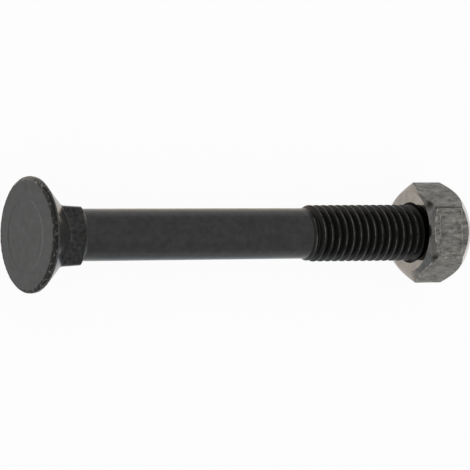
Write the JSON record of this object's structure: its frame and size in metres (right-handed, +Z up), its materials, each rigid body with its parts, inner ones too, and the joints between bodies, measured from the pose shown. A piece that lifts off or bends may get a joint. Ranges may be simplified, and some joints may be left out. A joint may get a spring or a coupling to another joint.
{
  "type": "plow bolt",
  "caption": "Flat countersunk plow bolt with a short square neck, plain shank and threaded end, carrying a hexagon nut that runs along the thread to clamp plates against the head.",
  "frame": {"origin": "centre of the head's flat face, on the bolt's axis", "axes": "+X along the bolt's axis from the head to the nut; +Z up as it lies, square to one neck flat and one nut flat"},
  "size_m": [0.1016, 0.024, 0.024],
  "materials": {
    "black_steel": "forged and rolled steel, blackened and oiled",
    "bare_steel": "bare cold-formed steel, dull grey with rubbed edges"
  },
  "bodies": {
    "bolt": {"bolt": "black_steel"},
    "nut": {"nut": "bare_steel"}
  },
  "joints": [
    {"name": "nut_run", "type": "slide", "parent": "bolt", "child": "nut", "axis": [1, 0, 0], "range_m": [-0.0245, 0.007]}
  ]
}
